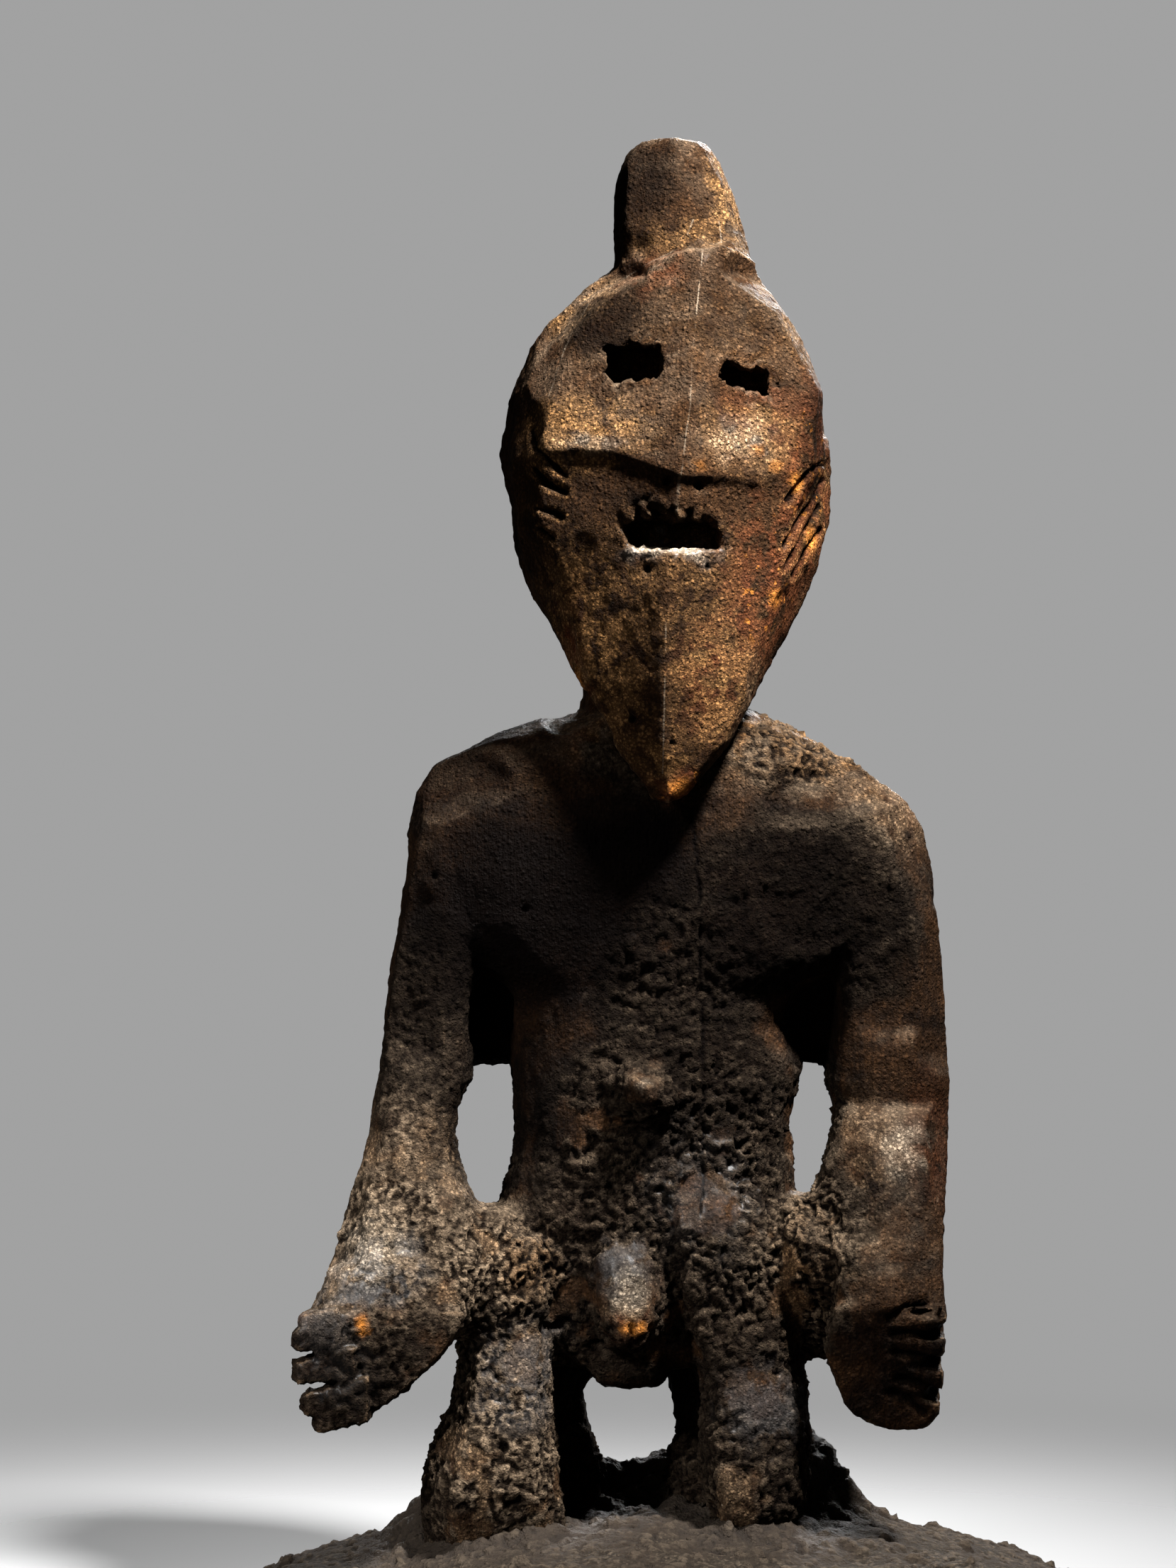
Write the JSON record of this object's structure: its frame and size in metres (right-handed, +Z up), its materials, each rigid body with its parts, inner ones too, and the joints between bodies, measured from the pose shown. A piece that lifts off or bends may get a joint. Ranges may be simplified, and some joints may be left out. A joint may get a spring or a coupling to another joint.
{
  "type": "altar figure",
  "caption": "Carved wooden altar figure with a kite-shaped face and blunt crest, crusted with patina, standing in a low round mound of hardened earth.",
  "frame": {"origin": "middle of the flat round underside of the mound, on the surface that the object stands on", "axes": "+Z up along the standing figure, -Y out of the face, +X towards the viewer's right when facing the figure"},
  "size_m": [0.406, 0.406, 0.6885],
  "materials": {
    "crusted_wood": "matte, granular crust with worn ridges",
    "sandy_earth": "matte, dusty, hardened sandy earth"
  },
  "bodies": {
    "root": {"figure": "crusted_wood", "earth_mound": "sandy_earth"}
  },
  "joints": []
}
